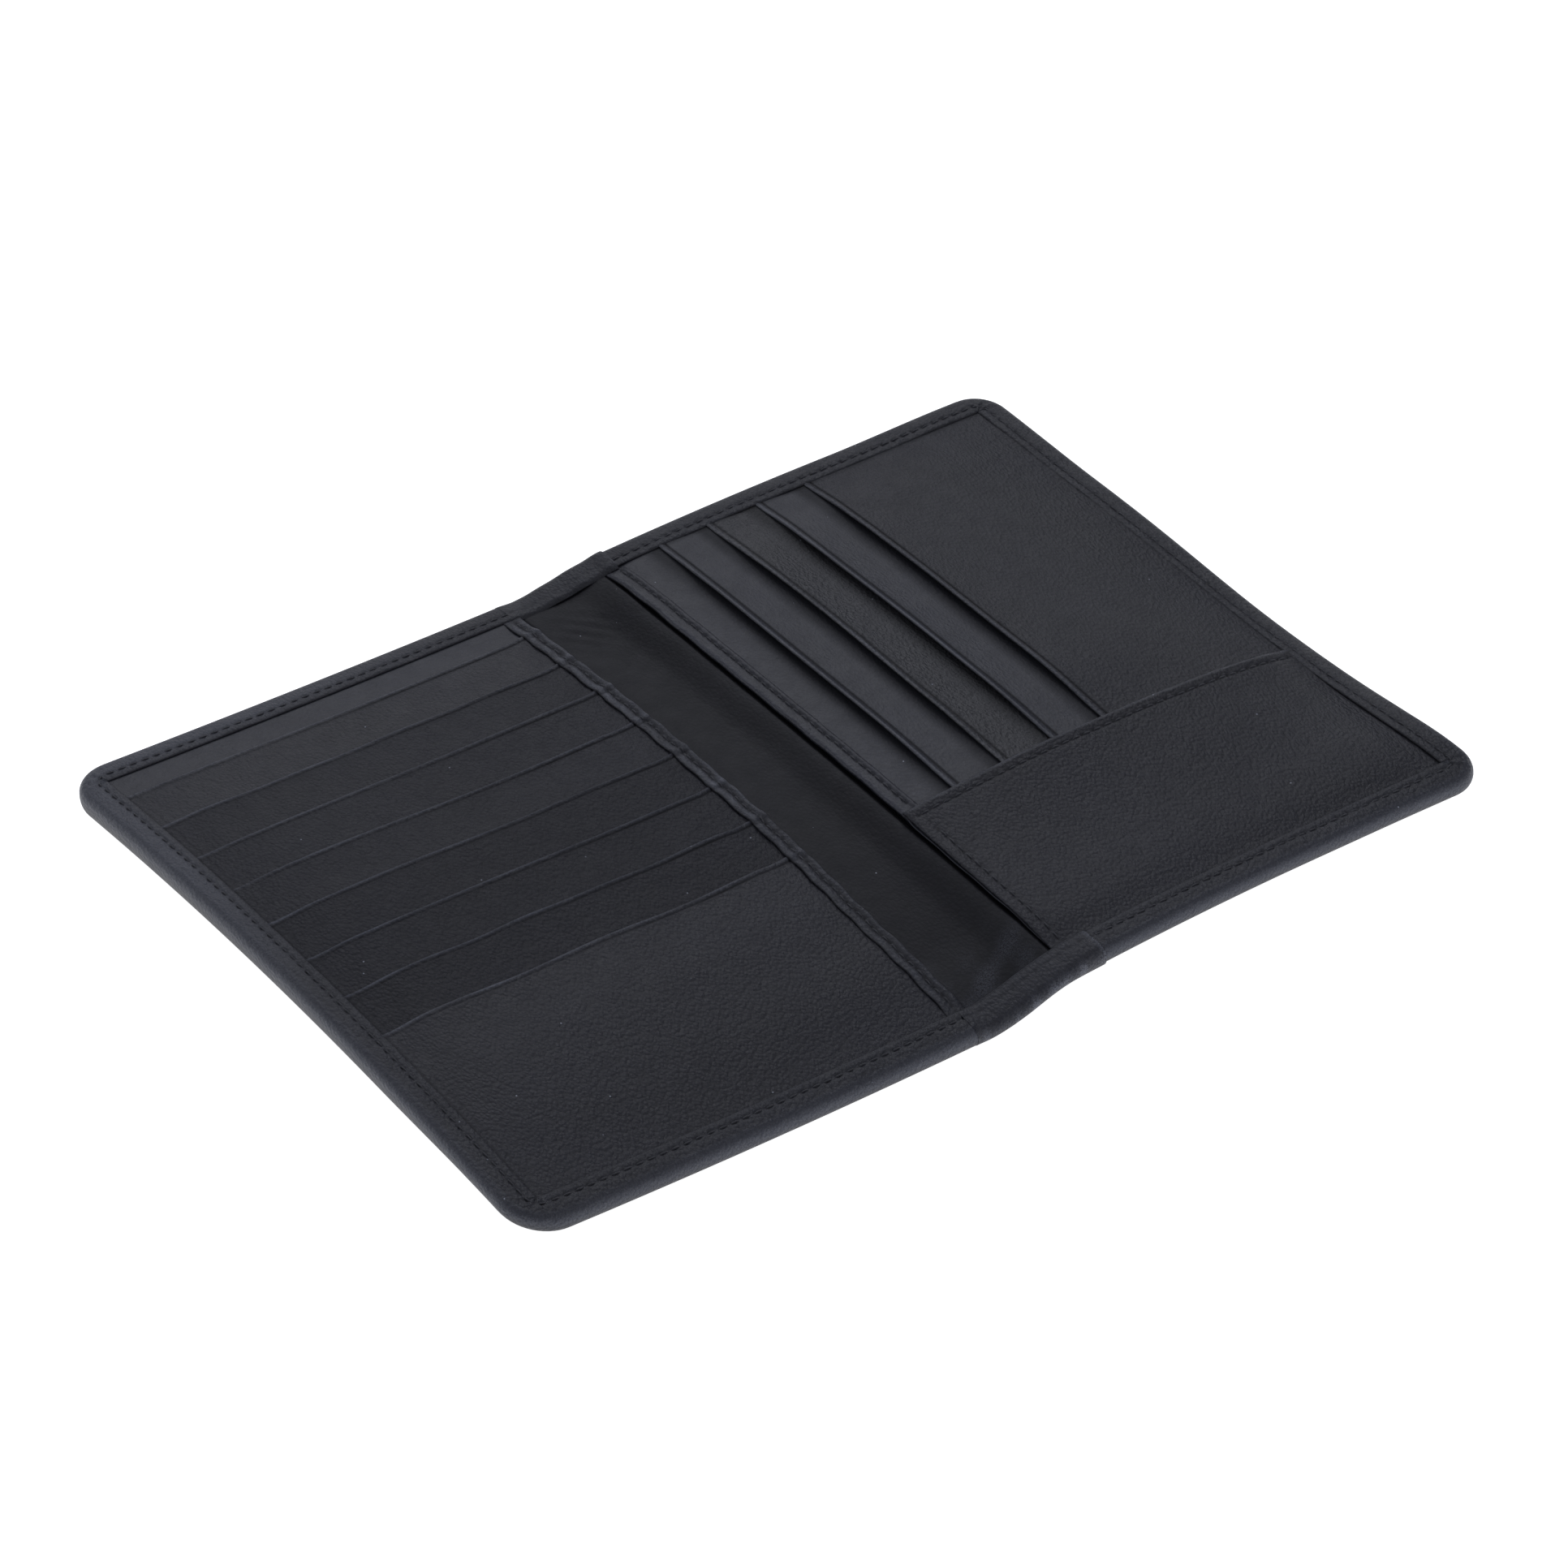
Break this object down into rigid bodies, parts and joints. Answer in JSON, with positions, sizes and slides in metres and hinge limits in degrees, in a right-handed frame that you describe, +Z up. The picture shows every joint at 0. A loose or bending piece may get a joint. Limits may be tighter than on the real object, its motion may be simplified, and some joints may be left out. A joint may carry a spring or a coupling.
{
  "type": "passport holder wallet",
  "caption": "Bifold leather passport wallet lying open: overlapping card pockets, slip pockets for passports behind them, stitched turned-in hem and a folding spine.",
  "frame": {"origin": "middle of the open wallet's box, on the surface that it lies on", "axes": "+X across from the left half to the right half, +Y along the spine to the far end, +Z up out of the pockets"},
  "size_m": [0.206, 0.145, 0.0065],
  "materials": {
    "cover_leather": "fine full grain, semi-matt with a soft sheen",
    "pocket_leather": "fine full grain, smoother and a little shinier than the cover",
    "lining_leather": "smooth, matt",
    "board": "grey board, hidden between the layers",
    "thread": "twisted polyester thread, matt"
  },
  "bodies": {
    "left_half": {"cover_left": "cover_leather", "board_left": "board", "lining_left": "lining_leather", "left_pocket_backing": "cover_leather", "left_card_pocket_1": "pocket_leather", "left_card_pocket_2": "pocket_leather", "left_card_pocket_3": "pocket_leather", "left_card_pocket_4": "pocket_leather", "left_card_pocket_5": "pocket_leather", "left_card_pocket_6": "pocket_leather", "left_card_pocket_7": "pocket_leather", "left_card_pocket_8": "pocket_leather", "left_edge_binding": "cover_leather", "left_binding_stitching": "thread", "hem_stitching_left": "thread"},
    "spine": {"cover_spine": "cover_leather", "lining_spine": "lining_leather", "spine_tab_far": "cover_leather", "spine_tab_near": "cover_leather"},
    "right_half": {"cover_right": "cover_leather", "board_right": "board", "lining_right": "lining_leather", "right_passport_pocket": "cover_leather", "right_card_pocket_1": "pocket_leather", "right_card_pocket_2": "pocket_leather", "right_card_pocket_3": "pocket_leather", "right_card_pocket_4": "pocket_leather", "right_bottom_pocket": "cover_leather", "passport_edge_stitching": "thread", "bottom_mouth_stitching": "thread", "bottom_side_stitching": "thread", "hem_stitching_right": "thread"}
  },
  "joints": [
    {"name": "left_fold", "type": "hinge", "parent": "left_half", "child": "spine", "pos_m": [-0.0062, 0, 0.0021], "axis": [0, -1, 0], "range_deg": [0, 90]},
    {"name": "right_fold", "type": "hinge", "parent": "spine", "child": "right_half", "pos_m": [0.0082, 0, 0.0041], "axis": [0, -1, 0], "range_deg": [0, 90]}
  ],
  "couplings": [
    {"joint": "right_fold", "follows": "left_fold", "ratio": 1}
  ]
}
